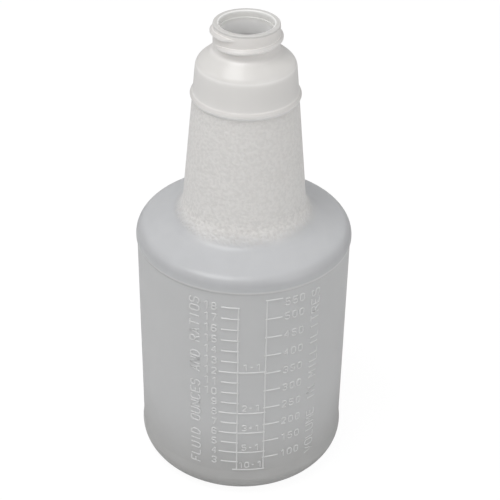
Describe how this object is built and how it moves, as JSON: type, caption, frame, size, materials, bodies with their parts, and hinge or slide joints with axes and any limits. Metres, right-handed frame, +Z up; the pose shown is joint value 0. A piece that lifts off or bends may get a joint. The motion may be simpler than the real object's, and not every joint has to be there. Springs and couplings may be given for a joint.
{
  "type": "graduated plastic bottle",
  "caption": "Round one-piece blown bottle with a 28 mm screw neck, a tapered stippled grip with a fill ring, a raised volume scale and a pushed-up base.",
  "frame": {"origin": "centre of the standing ring, on the surface that the bottle stands on", "axes": "+Z up along the bottle's axis, through the mouth; the raised scale faces -Y"},
  "size_m": [0.087, 0.087, 0.1977],
  "materials": {
    "milky_plastic": "satin milky plastic, faintly translucent, with a fine stipple on the grip"
  },
  "bodies": {
    "root": {"bottle": "milky_plastic"}
  },
  "joints": []
}
